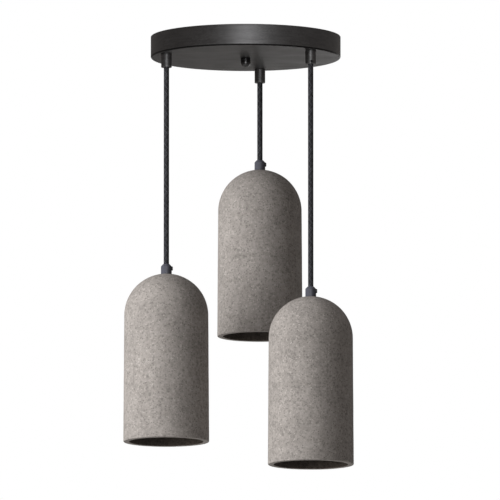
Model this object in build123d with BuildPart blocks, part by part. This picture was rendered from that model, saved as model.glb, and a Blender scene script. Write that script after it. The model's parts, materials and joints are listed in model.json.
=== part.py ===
"""Three-light cluster pendant: concrete shades on textile cords, hung from a round metal ceiling canopy.

Millimetres, +Z up. The origin is the middle of the ceiling bracket's top face, so z = 0 is the ceiling.
The three cords leave the canopy on one circle: rear (+Y), left (-X) and right (+X).
"""

from build123d import *
import math
import os

os.makedirs("parts", exist_ok=True)

# Fits
thread_clearance = 0.05  # radial, between a thread's root cylinder and its hole
pass_clearance = 0.3  # radial, where a neck or a stud passes through a plate or a shade
cord_clearance = 0.2  # radial, between a cord and the bore that it runs in
body_gap = 0.3  # between pieces that move past each other
cut_spare = 1.0  # how far a cut runs past the surface that it opens
hex_sides = 6

# Ceiling bracket and its stud
strap_length = 110.0
strap_width = 24.0
strap_thickness = 2.0
strap_corner = 3.0
slot_spacing = 70.0
slot_length = 14.0
slot_width = 5.0
stud_radius = 3.0
stud_chamfer = 0.5
stud_nut_flats = 10.0
stud_nut_height = 4.0
earth_screw_x = 17.0
earth_screw_radius = 2.0
earth_head_radius = 3.8
earth_head_height = 2.4
earth_head_round = 0.8
earth_slot_depth = 1.2
driver_slot_width = 1.0  # of the earth and terminal screws

# Canopy
canopy_radius = 125.0
canopy_height = 28.0
canopy_wall = 1.5
canopy_edge = 2.0
cord_circle = 111.0  # radius of the circle that the cords hang from
cap_nut_radius = 6.5
cap_nut_height = 12.0
cap_nut_thread = 9.0
stud_engagement = 8.0

# Cord grips in the canopy
grip_radius = 7.0
grip_drop = 18.0
grip_edge = 1.0
grip_neck_radius = 5.0
grip_nut_flats = 14.0
grip_nut_height = 3.5
grip_neck_spare = 2.0  # thread that stands above its nut
grip_screw_radius = 2.0
grip_screw_height = 3.0  # above the grip's lower end
grip_screw_recess = 0.3
hex_key = 2.0
hex_depth = 1.2

# Cord
cord_radius = 3.5
cord_tail = 2.0  # sheath that stands above the grip's neck
hang_drop = 6.0  # from the grip's mouth down to the point that the cord swings about
cord_top_length = 20.0
lead_radius = 0.9
lead_pitch = 2.6
lead_rise = 12.5  # from where a lead leaves the sheath to the top of its arch
lead_steps = (7.5, 9.0, 20.0)  # first rise, first step across, and where the way down begins
lead_sag = 1.5  # from the start of the arch to its end
lead_standoff = 13.0  # from the block's face to where a lead turns in to it
lead_fan = (4.0, 1.5)  # how much wider apart a pair of leads is at the block's rear face and at its end faces
arc_share = 0.45  # of the shorter run beside it, taken by an arc

# Terminal block
block_length = 34.0
block_width = 20.0
block_height = 13.0
block_y = -42.0
block_edge = 1.0
well_radius = 2.6
well_depth = 4.0
well_spacing_x = 16.0
well_spacing_y = 9.0
well_screw_height = 2.5
well_slot_depth = 0.8
lead_entry_height = 6.0  # above the inside of the canopy

# Shade
shade_height = 221.5
dome_radius = 55.2
rim_flare = 1.1  # how much wider the rim is than the dome
shade_wall = 8.0
top_seat_radius = 8.0
inner_seat_radius = 13.0
rim_round = 1.2

# Collar on the shade, its screw, and what clamps the shade
collar_radius = 7.1
collar_height = 13.5
collar_land = 0.4  # flat ring left at the collar's top, around its bore
collar_thread = 4.5
clamp_screw_height = 7.6
clamp_screw_radius = 1.5
clamp_head_radius = 2.7
clamp_head_thickness = 1.9
clamp_seat_depth = 0.6  # how far the screw's head is let into the collar
cord_in_collar = 4.0
nipple_radius = 5.0
washer_radius = 12.0
washer_thickness = 1.5
lock_nut_flats = 14.0
lock_nut_height = 3.5

# Lampholder
holder_wall = 3.5
holder_air = 0.9  # radial, between the screw shell and the holder's body
holder_cap_height = 22.0
holder_cap_wall = 2.0
holder_neck_radius = 8.0
holder_neck_height = 8.0
holder_shoulder = 7.0
holder_body_height = 36.0
holder_floor = 6.0
shell_wall = 0.7
shell_clearance = 0.7  # radial, between the bulb's thread and the shell
shell_length = 22.0
contact_radius = 4.0
contact_height = 2.5
contact_round = 0.8
lead_hole_spacing = 12.0  # between the two holes in the holder's floor

# Lamp bulb
bulb_cap_radius = 13.2
bulb_cap_length = 24.0
bulb_tip_radius = 5.0
bulb_tip_height = 3.0
bulb_neck_step = 0.8  # how much wider the glass neck is than the cap
bulb_neck_length = 5.0
bulb_radius = 30.0
bulb_centre_drop = 42.0  # from the end of the neck to the middle of the round part
bulb_wall = 1.0

# Each pendant: the angle of its cord, the depth of its shade's top below the ceiling,
# and the directions that its grip's screw and its collar's screw point in, in degrees
pendants = {
    "left": (210.0, 320.0, 150.0, 4.0),
    "rear": (90.0, 162.5, 90.0, 4.0),
    "right": (330.0, 354.0, 292.0, 4.0),
}

# Sizes that follow from those
rim_radius = dome_radius + rim_flare
cord_bore = cord_radius + cord_clearance
collar_chamfer = collar_radius - cord_bore - collar_land
clamp_seat = collar_radius - clamp_seat_depth
nipple_bore = cord_radius + pass_clearance
shell_radius = bulb_cap_radius + shell_clearance + shell_wall
holder_radius = shell_radius + holder_air + holder_wall
bulb_neck_radius = bulb_cap_radius + bulb_neck_step

# Heights that follow from those sizes
plate_top = canopy_wall - canopy_height  # inside face of the canopy's plate
grip_end = -canopy_height - grip_drop
neck_end = plate_top + grip_nut_height + grip_neck_spare
swing_height = grip_end - hang_drop
flex_radius = cord_radius - body_gap  # the short length that flexes at that point
cord_top_start = swing_height - flex_radius - body_gap
cord_run_start = cord_top_start - cord_top_length - body_gap
block_top = plate_top + block_height
sphere_drop = math.sqrt(dome_radius**2 - top_seat_radius**2)  # from the shade's top to its dome's centre
inner_radius = dome_radius - shade_wall
inner_seat = math.sqrt(inner_radius**2 - inner_seat_radius**2) - sphere_drop
washer_end = inner_seat - washer_thickness
lock_nut_end = washer_end - lock_nut_height
holder_cap_end = lock_nut_end - holder_cap_height
holder_floor_end = holder_cap_end - holder_floor
holder_end = holder_cap_end - holder_body_height
contact_end = holder_floor_end - contact_height
bulb_tip = contact_end - body_gap
bulb_cap_end = bulb_tip - bulb_cap_length
bulb_neck_end = bulb_cap_end - bulb_neck_length


def cord_place(angle):
    """Where a cord hangs, for its angle on the circle."""
    turn = math.radians(angle)
    return cord_circle * math.cos(turn), cord_circle * math.sin(turn)


def profile_plane(x, y, z):
    """The plane of a profile about the upright line through x, y, with its zero height at z."""
    return Plane(origin=(x, y, z), x_dir=(1, 0, 0), z_dir=(0, -1, 0))


def radial_plane(x, y, z, angle, distance):
    """The plane that faces outward at angle, at that distance from the upright line through x, y."""
    turn = math.radians(angle)
    out = (math.cos(turn), math.sin(turn), 0)
    origin = (x + out[0] * distance, y + out[1] * distance, z)
    return Plane(origin=origin, x_dir=(-out[1], out[0], 0), z_dir=out)


def save(piece, name):
    """Label a finished piece and write it."""
    piece.part.label = name
    export_step(piece.part, f"parts/{name}.step")


# ---------------------------------------------------------------- bracket, held by the ceiling

with BuildPart() as ceiling_bracket:
    with BuildSketch(Plane.XY.offset(-strap_thickness)):
        RectangleRounded(strap_length, strap_width, strap_corner)
        with GridLocations(slot_spacing, 0, 2, 1):
            SlotOverall(slot_length, slot_width, mode=Mode.SUBTRACT)
        Circle(stud_radius + thread_clearance, mode=Mode.SUBTRACT)
        with Locations((earth_screw_x, 0)):
            Circle(earth_screw_radius + thread_clearance, mode=Mode.SUBTRACT)
    extrude(amount=strap_thickness)
save(ceiling_bracket, "ceiling_bracket")

with BuildPart() as centre_stud:
    with BuildSketch(Plane.XY.offset(-canopy_height - stud_engagement)):
        Circle(stud_radius)
    extrude(amount=canopy_height + stud_engagement)
    chamfer(centre_stud.faces().sort_by(Axis.Z)[0].edges(), stud_chamfer)
save(centre_stud, "centre_stud")

with BuildPart() as stud_nut:
    with BuildSketch(Plane.XY.offset(-strap_thickness - stud_nut_height)):
        RegularPolygon(stud_nut_flats / 2, hex_sides, major_radius=False)
        Circle(stud_radius + thread_clearance, mode=Mode.SUBTRACT)
    extrude(amount=stud_nut_height)
save(stud_nut, "stud_nut")

with BuildPart() as earth_screw:
    with BuildSketch(Plane.XY.offset(-strap_thickness - earth_head_height)):
        with Locations((earth_screw_x, 0)):
            Circle(earth_head_radius)
    extrude(amount=earth_head_height)
    fillet(earth_screw.faces().sort_by(Axis.Z)[0].edges(), earth_head_round)
    with BuildSketch(Plane.XY.offset(-strap_thickness)):
        with Locations((earth_screw_x, 0)):
            Circle(earth_screw_radius)
    extrude(amount=strap_thickness)
    with BuildSketch(Plane.XY.offset(-strap_thickness - earth_head_height)):
        with Locations((earth_screw_x, 0)):
            Rectangle(2 * earth_head_radius + cut_spare, driver_slot_width)
    extrude(amount=earth_slot_depth, mode=Mode.SUBTRACT)
save(earth_screw, "earth_screw")

# ---------------------------------------------------------------- canopy and what it carries

cord_places = [cord_place(angle) for angle, *_ in pendants.values()]

with BuildPart() as canopy:
    with BuildSketch(Plane.XY.offset(-canopy_height)):
        Circle(canopy_radius)
    extrude(amount=canopy_height)
    fillet(canopy.faces().sort_by(Axis.Z)[0].edges(), canopy_edge)
    offset(amount=-canopy_wall, openings=canopy.faces().sort_by(Axis.Z)[-1])
    with BuildSketch(Plane.XY.offset(-canopy_height)):
        Circle(stud_radius + pass_clearance)
        with Locations(*cord_places):
            Circle(grip_neck_radius + pass_clearance)
    extrude(amount=canopy_wall, mode=Mode.SUBTRACT)
save(canopy, "canopy")

with BuildPart() as cap_nut:
    with BuildSketch(profile_plane(0, 0, -canopy_height)):
        with BuildLine():
            dome = CenterArc((0, cap_nut_radius - cap_nut_height), cap_nut_radius, -90, 90)
            Line(dome @ 1, (cap_nut_radius, 0))
            Line((cap_nut_radius, 0), (0, 0))
            Line((0, 0), dome @ 0)
        make_face()
    revolve(axis=Axis.Z)
    with BuildSketch(Plane.XY.offset(-canopy_height - cap_nut_thread)):
        Circle(stud_radius + thread_clearance)
    extrude(amount=cap_nut_thread, mode=Mode.SUBTRACT)
save(cap_nut, "cap_nut")

with BuildPart() as grip_nuts:
    with BuildSketch(Plane.XY.offset(plate_top)):
        with Locations(*cord_places):
            RegularPolygon(grip_nut_flats / 2, hex_sides, major_radius=False)
            Circle(grip_neck_radius + thread_clearance, mode=Mode.SUBTRACT)
    extrude(amount=grip_nut_height)
save(grip_nuts, "grip_nuts")

for side, (angle, depth, grip_screw_angle, clamp_angle) in pendants.items():
    x, y = cord_place(angle)
    screw_z = grip_end + grip_screw_height
    with BuildPart() as cord_grip:
        with BuildSketch(Plane.XY.offset(grip_end)):
            with Locations((x, y)):
                Circle(grip_radius)
        extrude(amount=grip_drop)
        chamfer(cord_grip.faces().sort_by(Axis.Z)[0].edges(), grip_edge)
        with BuildSketch(Plane.XY.offset(-canopy_height)):
            with Locations((x, y)):
                Circle(grip_neck_radius)
        extrude(amount=neck_end + canopy_height)
        with BuildSketch(Plane.XY.offset(grip_end)):
            with Locations((x, y)):
                Circle(cord_bore)
        extrude(amount=neck_end - grip_end, mode=Mode.SUBTRACT)
        with BuildSketch(radial_plane(x, y, screw_z, grip_screw_angle, 0)):
            Circle(grip_screw_radius + thread_clearance)
        extrude(amount=grip_radius + cut_spare, mode=Mode.SUBTRACT)
    save(cord_grip, f"cord_grip_{side}")

with BuildPart() as grip_screws:
    for angle, depth, grip_screw_angle, clamp_angle in pendants.values():
        x, y = cord_place(angle)
        screw_z = grip_end + grip_screw_height
        outer_end = grip_radius - grip_screw_recess
        with BuildSketch(radial_plane(x, y, screw_z, grip_screw_angle, cord_bore)):
            Circle(grip_screw_radius)
        extrude(amount=outer_end - cord_bore)
        with BuildSketch(radial_plane(x, y, screw_z, grip_screw_angle, outer_end - hex_depth)):
            RegularPolygon(hex_key / 2, hex_sides, major_radius=False)
        extrude(amount=hex_depth, mode=Mode.SUBTRACT)
save(grip_screws, "grip_screws")

with BuildPart() as cord_entries:
    with BuildSketch(Plane.XY.offset(swing_height + flex_radius + body_gap)):
        with Locations(*cord_places):
            Circle(cord_radius)
    extrude(amount=neck_end + cord_tail - swing_height - flex_radius - body_gap)
save(cord_entries, "cord_entries")

with BuildPart() as terminal_block:
    with BuildSketch(Plane.XY.offset(plate_top)):
        with Locations((0, block_y)):
            Rectangle(block_length, block_width)
    extrude(amount=block_height)
    fillet(terminal_block.edges().filter_by(Axis.Z), block_edge)
    with BuildSketch(Plane.XY.offset(block_top - well_depth)):
        with Locations((0, block_y)):
            with GridLocations(well_spacing_x, well_spacing_y, 2, 2):
                Circle(well_radius)
    extrude(amount=well_depth, mode=Mode.SUBTRACT)
save(terminal_block, "terminal_block")

with BuildPart() as terminal_screws:
    with BuildSketch(Plane.XY.offset(block_top - well_depth)):
        with Locations((0, block_y)):
            with GridLocations(well_spacing_x, well_spacing_y, 2, 2):
                Circle(well_radius - pass_clearance)
    extrude(amount=well_screw_height)
    with BuildSketch(Plane.XY.offset(block_top - well_depth + well_screw_height)):
        with Locations((0, block_y)):
            with GridLocations(well_spacing_x, well_spacing_y, 2, 2):
                Rectangle(2 * well_radius, driver_slot_width)
    extrude(amount=-well_slot_depth, mode=Mode.SUBTRACT)
save(terminal_screws, "terminal_screws")

# Two leads run from each cord's end to the block. Each route is listed from the cord to the block's face.
lead_low = neck_end + cord_tail
lead_high = lead_low + lead_rise
lead_entry = plate_top + lead_entry_height
block_ends = {
    "left": ((-block_length / 2, block_y), (-1, 0)),
    "rear": ((0, block_y + block_width / 2), (0, 1)),
    "right": ((block_length / 2, block_y), (1, 0)),
}


def lead_route(side, aside):
    """A lead's points: up out of the cord, over towards the block, down beside it and into its face."""
    x, y = cord_place(pendants[side][0])
    (face_x, face_y), (out_x, out_y) = block_ends[side]
    spread_x, spread_y = abs(out_y) * aside, abs(out_x) * aside
    x, y = x + spread_x, y + spread_y
    face_x, face_y = face_x + lead_fan[0] * spread_x, face_y + lead_fan[1] * spread_y
    near_x, near_y = face_x + lead_standoff * out_x, face_y + lead_standoff * out_y
    length = math.hypot(near_x - x, near_y - y)
    step_x, step_y = (near_x - x) / length, (near_y - y) / length
    over = length - lead_steps[2]
    return [
        (x, y, lead_low),
        (x, y, lead_low + lead_steps[0]),
        (x + lead_steps[1] * step_x, y + lead_steps[1] * step_y, lead_high),
        (x + over * step_x, y + over * step_y, lead_high - lead_sag),
        (near_x, near_y, lead_entry),
        (face_x, face_y, lead_entry),
    ]


def corner_radii(points):
    """The largest arc that each corner's two runs allow."""
    radii = []
    for before, corner, after in zip(points, points[1:], points[2:]):
        arrive = Vector(*corner) - Vector(*before)
        leave = Vector(*after) - Vector(*corner)
        half_turn = math.radians(arrive.get_angle(leave)) / 2
        radii.append(arc_share * min(arrive.length, leave.length) / math.tan(half_turn))
    return radii


with BuildPart() as lead_cores:
    for side in pendants:
        for aside in (-lead_pitch / 2, lead_pitch / 2):
            points = lead_route(side, aside)
            radii = corner_radii(points)
            print("lead", side, "radii", [round(radius, 1) for radius in radii])
            with BuildLine() as route:
                FilletPolyline(*points, radius=radii)
            with BuildSketch(Plane(origin=points[0], z_dir=(0, 0, 1))):
                Circle(lead_radius)
            sweep(path=route.wires()[0])
save(lead_cores, "lead_cores")

# ---------------------------------------------------------------- the three pendants

for side, (angle, depth, grip_screw_angle, clamp_angle) in pendants.items():
    x, y = cord_place(angle)
    top = -depth  # the shade's top face
    axis = Axis((x, y, 0), (0, 0, 1))
    plane = profile_plane(x, y, top)
    collar_top = top + collar_height

    with BuildPart() as cord_flex:
        with BuildSketch(profile_plane(x, y, swing_height)):
            with BuildLine():
                half = CenterArc((0, 0), flex_radius, -90, 180)
                Line(half @ 1, half @ 0)
            make_face()
        revolve(axis=axis)
    save(cord_flex, f"cord_flex_{side}")

    with BuildPart() as cord_top:
        with BuildSketch(Plane.XY.offset(cord_top_start - cord_top_length)):
            with Locations((x, y)):
                Circle(cord_radius)
        extrude(amount=cord_top_length)
    save(cord_top, f"cord_top_{side}")

    with BuildPart() as cord_run:
        with BuildSketch(Plane.XY.offset(collar_top - cord_in_collar)):
            with Locations((x, y)):
                Circle(cord_radius)
        extrude(amount=cord_run_start - collar_top + cord_in_collar)
    save(cord_run, f"cord_run_{side}")

    with BuildPart() as collar:
        with BuildSketch(plane):
            with BuildLine():
                Polyline(
                    (nipple_radius + thread_clearance, 0),
                    (collar_radius, 0),
                    (collar_radius, collar_height - collar_chamfer),
                    (collar_radius - collar_chamfer, collar_height),
                    (cord_bore, collar_height),
                    (cord_bore, collar_thread),
                    (nipple_radius + thread_clearance, collar_thread),
                    close=True,
                )
            make_face()
        revolve(axis=axis)
        with BuildSketch(radial_plane(x, y, top + clamp_screw_height, clamp_angle, 0)):
            Circle(clamp_screw_radius + thread_clearance)
        extrude(amount=collar_radius + cut_spare, mode=Mode.SUBTRACT)
        with BuildSketch(radial_plane(x, y, top + clamp_screw_height, clamp_angle, clamp_seat)):
            Circle(clamp_head_radius + thread_clearance)
        extrude(amount=collar_radius - clamp_seat + cut_spare, mode=Mode.SUBTRACT)
    save(collar, f"collar_{side}")

    with BuildPart() as clamp_screw:
        with BuildSketch(radial_plane(x, y, top + clamp_screw_height, clamp_angle, cord_bore)):
            Circle(clamp_screw_radius)
        extrude(amount=clamp_seat - cord_bore)
        with BuildSketch(radial_plane(x, y, top + clamp_screw_height, clamp_angle, clamp_seat)):
            Circle(clamp_head_radius)
        extrude(amount=clamp_head_thickness)
        head_end = clamp_seat + clamp_head_thickness
        with BuildSketch(radial_plane(x, y, top + clamp_screw_height, clamp_angle, head_end - hex_depth)):
            RegularPolygon(hex_key / 2, hex_sides, major_radius=False)
        extrude(amount=hex_depth, mode=Mode.SUBTRACT)
    save(clamp_screw, f"clamp_screw_{side}")

    with BuildPart() as nipple:
        with BuildSketch(Plane.XY.offset(top + lock_nut_end - holder_neck_height)):
            with Locations((x, y)):
                Circle(nipple_radius)
                Circle(nipple_bore, mode=Mode.SUBTRACT)
        extrude(amount=collar_thread - cord_clearance - lock_nut_end + holder_neck_height)
    save(nipple, f"nipple_{side}")

    with BuildPart() as shade:
        with BuildSketch(plane):
            with BuildLine():
                outer_turn = math.degrees(math.acos(top_seat_radius / dome_radius))
                inner_turn = math.degrees(math.acos(inner_seat_radius / inner_radius))
                hole = nipple_radius + pass_clearance
                outer = CenterArc((0, -sphere_drop), dome_radius, 0, outer_turn)
                inner = CenterArc((0, -sphere_drop), inner_radius, 0, inner_turn)
                Line(outer @ 0, (rim_radius, -shade_height))
                Line((rim_radius, -shade_height), (rim_radius - shade_wall, -shade_height))
                Line((rim_radius - shade_wall, -shade_height), inner @ 0)
                Line(inner @ 1, (hole, inner_seat))
                Line((hole, inner_seat), (hole, 0))
                Line((hole, 0), outer @ 1)
            make_face()
        revolve(axis=axis)
        fillet(shade.faces().sort_by(Axis.Z)[0].edges(), rim_round)
    save(shade, f"shade_{side}")

    with BuildPart() as seat_washer:
        with BuildSketch(Plane.XY.offset(top + washer_end)):
            with Locations((x, y)):
                Circle(washer_radius)
                Circle(nipple_radius + pass_clearance, mode=Mode.SUBTRACT)
        extrude(amount=washer_thickness)
    save(seat_washer, f"seat_washer_{side}")

    with BuildPart() as lock_nut:
        with BuildSketch(Plane.XY.offset(top + lock_nut_end)):
            with Locations((x, y)):
                RegularPolygon(lock_nut_flats / 2, hex_sides, major_radius=False)
                Circle(nipple_radius + thread_clearance, mode=Mode.SUBTRACT)
        extrude(amount=lock_nut_height)
    save(lock_nut, f"lock_nut_{side}")

    with BuildPart() as holder_cap:
        with BuildSketch(plane):
            with BuildLine():
                neck_inner = nipple_radius + thread_clearance
                neck_low = lock_nut_end - holder_neck_height
                shoulder_low = neck_low - holder_shoulder
                Polyline(
                    (neck_inner, lock_nut_end),
                    (holder_neck_radius, lock_nut_end),
                    (holder_neck_radius, neck_low),
                    (holder_radius, shoulder_low),
                    (holder_radius, holder_cap_end),
                    (holder_radius - holder_cap_wall, holder_cap_end),
                    (holder_radius - holder_cap_wall, shoulder_low - holder_cap_wall / 2),
                    (holder_neck_radius - holder_cap_wall / 2, neck_low - holder_cap_wall),
                    (neck_inner, neck_low - holder_cap_wall),
                    close=True,
                )
            make_face()
        revolve(axis=axis)
    save(holder_cap, f"holder_cap_{side}")

    with BuildPart() as holder_body:
        with BuildSketch(Plane.XY.offset(top + holder_end)):
            with Locations((x, y)):
                Circle(holder_radius)
        extrude(amount=holder_body_height)
        with BuildSketch(Plane.XY.offset(top + holder_end)):
            with Locations((x, y)):
                Circle(holder_radius - holder_wall)
        extrude(amount=holder_body_height - holder_floor, mode=Mode.SUBTRACT)
        with BuildSketch(Plane.XY.offset(top + holder_floor_end)):
            with Locations((x, y)):
                with GridLocations(lead_hole_spacing, 0, 2, 1):
                    Circle(lead_radius + pass_clearance)
        extrude(amount=holder_floor, mode=Mode.SUBTRACT)
    save(holder_body, f"holder_body_{side}")

    with BuildPart() as screw_shell:
        with BuildSketch(Plane.XY.offset(top + holder_floor_end - shell_length)):
            with Locations((x, y)):
                Circle(shell_radius)
                Circle(shell_radius - shell_wall, mode=Mode.SUBTRACT)
        extrude(amount=shell_length)
    save(screw_shell, f"screw_shell_{side}")

    with BuildPart() as centre_contact:
        with BuildSketch(Plane.XY.offset(top + contact_end)):
            with Locations((x, y)):
                Circle(contact_radius)
        extrude(amount=contact_height)
        fillet(centre_contact.faces().sort_by(Axis.Z)[0].edges(), contact_round)
    save(centre_contact, f"centre_contact_{side}")

    with BuildPart() as bulb_cap:
        with BuildSketch(plane):
            with BuildLine():
                Polyline(
                    (0, bulb_tip),
                    (bulb_tip_radius, bulb_tip),
                    (bulb_cap_radius, bulb_tip - bulb_tip_height),
                    (bulb_cap_radius, bulb_cap_end),
                    (0, bulb_cap_end),
                    close=True,
                )
            make_face()
        revolve(axis=axis)
    save(bulb_cap, f"bulb_cap_{side}")

    with BuildPart() as bulb_globe:
        with BuildSketch(plane):
            with BuildLine():
                reach = math.hypot(bulb_neck_radius, bulb_centre_drop)
                slope = math.atan2(bulb_centre_drop, bulb_neck_radius)
                touch = math.degrees(slope - math.acos(bulb_radius / reach))
                centre = (0, bulb_neck_end - bulb_centre_drop)
                round_part = CenterArc(centre, bulb_radius, -90, 90 + touch)
                Line(round_part @ 1, (bulb_neck_radius, bulb_neck_end))
                Line((bulb_neck_radius, bulb_neck_end), (bulb_neck_radius, bulb_cap_end))
                Line((bulb_neck_radius, bulb_cap_end), (0, bulb_cap_end))
                Line((0, bulb_cap_end), round_part @ 0)
            make_face()
        revolve(axis=axis)
        offset(amount=-bulb_wall, openings=bulb_globe.faces().sort_by(Axis.Z)[-1])
    save(bulb_globe, f"bulb_globe_{side}")
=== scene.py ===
"""Cluster pendant light: cast concrete shades on braided cords, hung from a black brushed ceiling canopy.

Every place comes from the loaded frame, in metres, +Z up, with z = 0 on the ceiling.
"""

import functools
import json
import math

import bmesh
import bpy
import numpy as np
from bpy.props import FloatProperty, FloatVectorProperty, IntProperty, PointerProperty
from mathutils import Matrix, Vector


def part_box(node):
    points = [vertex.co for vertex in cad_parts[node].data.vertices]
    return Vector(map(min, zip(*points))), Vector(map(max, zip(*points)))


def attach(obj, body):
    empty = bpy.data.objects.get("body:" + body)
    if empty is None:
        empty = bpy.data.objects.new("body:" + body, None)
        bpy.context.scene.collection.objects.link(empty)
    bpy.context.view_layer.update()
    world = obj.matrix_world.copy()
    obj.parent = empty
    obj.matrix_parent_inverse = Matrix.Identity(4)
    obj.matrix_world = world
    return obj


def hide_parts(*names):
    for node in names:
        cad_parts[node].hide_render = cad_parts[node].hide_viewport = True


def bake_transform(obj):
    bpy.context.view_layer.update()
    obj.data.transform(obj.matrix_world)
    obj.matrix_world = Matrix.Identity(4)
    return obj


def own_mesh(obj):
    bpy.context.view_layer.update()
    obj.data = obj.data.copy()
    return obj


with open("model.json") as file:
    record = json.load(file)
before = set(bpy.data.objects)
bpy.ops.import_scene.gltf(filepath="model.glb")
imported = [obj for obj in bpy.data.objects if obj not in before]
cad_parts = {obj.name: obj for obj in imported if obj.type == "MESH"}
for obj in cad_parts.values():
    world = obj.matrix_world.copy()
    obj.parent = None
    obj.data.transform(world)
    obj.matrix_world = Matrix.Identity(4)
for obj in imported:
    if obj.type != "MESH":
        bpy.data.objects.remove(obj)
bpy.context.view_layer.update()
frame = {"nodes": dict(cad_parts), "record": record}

bl_info = {
    "name": "Cluster pendant light",
    "version": (1, 0, 0),
    "blender": (4, 5, 0),
    "location": "3D View > Sidebar > Pendant",
    "description": "Builds the looks of a cluster pendant light around its packed frame",
    "category": "Add Mesh",
}

SIDES = ("left", "rear", "right")
MM = 0.001
UP = Vector((0.0, 0.0, 1.0))
CORD_BORE = 3.7 * MM
NUT_BORE = 5.05 * MM
FITTING_HOLE = 5.3 * MM
THREAD_STEP = 0.12 * MM  # between a fine thread's rings of points
GRIP_SCREW_TURNS = {"left": 150.0, "rear": 90.0, "right": 292.0}  # degrees from +X, as in the frame
CLAMP_SCREW_TURN = 4.0


def corners(node):
    """A CAD node's lowest and highest corners, as vectors."""
    low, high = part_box(node)
    return Vector(low), Vector(high)


def middle(node):
    """The middle of a CAD node's box."""
    low, high = corners(node)
    return (low + high) / 2


def span(node, axis):
    """A CAD node's size along X, Y or Z (0, 1 or 2)."""
    low, high = corners(node)
    return high[axis] - low[axis]


@functools.cache
def built(maker):
    """What a maker of a node tree gives, made once."""
    return maker()


# ------------------------------------------------------------------ settings that a user would change


def colour_setting(name, description, default):
    """A colour in the sidebar."""
    return FloatVectorProperty(name=name, description=description, subtype="COLOR", size=3, default=default,
                               min=0.0, max=1.0)


def length_setting(name, description, default, low, high):
    """A length in the sidebar."""
    return FloatProperty(name=name, description=description, subtype="DISTANCE", unit="LENGTH", default=default,
                         min=low, max=high)


def angle_setting(name, description, default, limit):
    """An angle in the sidebar, with its default in degrees and its limit either way in radians."""
    return FloatProperty(name=name, description=description, subtype="ANGLE", default=math.radians(default),
                         min=-limit, max=limit)


def power_setting(name, description, default):
    """A lamp's power in the sidebar."""
    return FloatProperty(name=name, description=description, subtype="POWER", unit="POWER", default=default,
                         min=0.0, max=2000.0)


class PendantLooks(bpy.types.PropertyGroup):
    """Colours of the light's finishes"""

    concrete: colour_setting("Concrete", "Colour of the cast shades", (0.27, 0.252, 0.239))
    # painted shade: a darker copy of the concrete stands in for the shade inside each hollow shade
    concrete_painted_shade_inside: colour_setting("Inside painted shade", "Colour of the painted shade inside the shades",
                                    (0.062, 0.052, 0.044))
    black: colour_setting("Black metal", "Colour of the canopy and its fittings", (0.12, 0.12, 0.1225))
    cord: colour_setting("Cord", "Colour of the braided cords", (0.012, 0.0125, 0.0145))
    collar: colour_setting("Collar", "Colour of the shades' moulded collars", (0.06, 0.063, 0.082))


class PendantSizes(bpy.types.PropertyGroup):
    """Sizes of the detail that the frame leaves plain"""

    grain: length_setting("Grain", "Size of the concrete's sand grains", 2.3 * MM, 0.2 * MM, 10 * MM)
    pit_depth: length_setting("Pit depth", "Depth of the largest air holes in the concrete", 0.5 * MM, 0.0, 2 * MM)
    rim_round: length_setting("Rim round", "Radius of the edges of a shade's rim", 1.2 * MM, 0.1 * MM, 3 * MM)
    yarns: IntProperty(name="Yarns", description="Yarns of each hand round a cord", default=16, min=6, max=32)
    braid_pitch: length_setting("Braid pitch", "Length along the cord of one turn of a yarn", 26 * MM, 5 * MM, 80 * MM)
    braid_relief: length_setting("Braid relief", "Height of a yarn above the valleys beside it", 0.32 * MM, 0.0,
                                 1 * MM)


class PendantStage(bpy.types.PropertyGroup):
    """Camera and light"""

    azimuth: angle_setting("Azimuth", "How far the camera stands round to the right", 9.75, math.pi)
    elevation: angle_setting("Elevation", "The camera's height angle", -7.4, 1.5)
    distance: length_setting("Distance", "From the camera to the light's axis", 24.0, 0.5, 50.0)
    width: length_setting("Width", "Width of the view at the light's axis", 0.6576, 0.05, 10.0)
    key_power: power_setting("Key power", "Power of the large soft light on the left", 110.0)
    front_power: power_setting("Front power", "Power of the tall narrow light in front", 36.0)
    back_power: power_setting("Back power", "Power of the soft light behind", 26.0)
    top_power: power_setting("Top power", "Power of the soft light overhead", 16.0)
    low_power: power_setting("Low power", "Power of the low light behind on the right", 8.0)


# ------------------------------------------------------------------ node helpers


FLOAT, VECTOR, MATERIAL = "NodeSocketFloat", "NodeSocketVector", "NodeSocketMaterial"
GEOMETRY, OBJECT = "NodeSocketGeometry", "NodeSocketObject"


def new_tree(name, inputs, outputs, kind="ShaderNodeTree"):
    """An empty node tree: (tree, its inputs, its output node). An input is a kind of socket or a number's default."""
    tree = bpy.data.node_groups.new(name, kind)
    for socket_name, value in inputs.items():
        number = "NodeSocketInt" if isinstance(value, int) else FLOAT
        socket = tree.interface.new_socket(name=socket_name, in_out="INPUT",
                                           socket_type=value if isinstance(value, str) else number)
        if not isinstance(value, str):
            socket.default_value = value
    for socket_name, socket_kind in outputs.items():
        tree.interface.new_socket(name=socket_name, in_out="OUTPUT", socket_type=socket_kind)
    return tree, tree.nodes.new("NodeGroupInput").outputs, tree.nodes.new("NodeGroupOutput")


def fill(tree, node, inputs):
    """Set or link a node's inputs, by name or number."""
    for key, value in inputs.items():
        socket = node.inputs[key]
        if isinstance(value, bpy.types.NodeSocket):
            tree.links.new(value, socket)
        elif socket.type == "RGBA":
            socket.default_value = (*value[:3], 1.0)
        else:
            socket.default_value = value


def add(tree, kind, inputs=None, **settings):
    """Add a node, set its properties, and set or link its inputs."""
    node = tree.nodes.new(kind)
    for key, value in settings.items():
        setattr(node, key, value)
    fill(tree, node, inputs or {})
    return node


def maths(tree, operation, *values):
    """A Math node's output."""
    return add(tree, "ShaderNodeMath", dict(enumerate(values)), operation=operation).outputs[0]


def times(tree, first, *others):
    """The product of several values."""
    for other in others:
        first = maths(tree, "MULTIPLY", first, other)
    return first


def vector_maths(tree, operation, *values):
    """A Vector Math node's vector."""
    return add(tree, "ShaderNodeVectorMath", dict(enumerate(values)), operation=operation).outputs[0]


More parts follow.
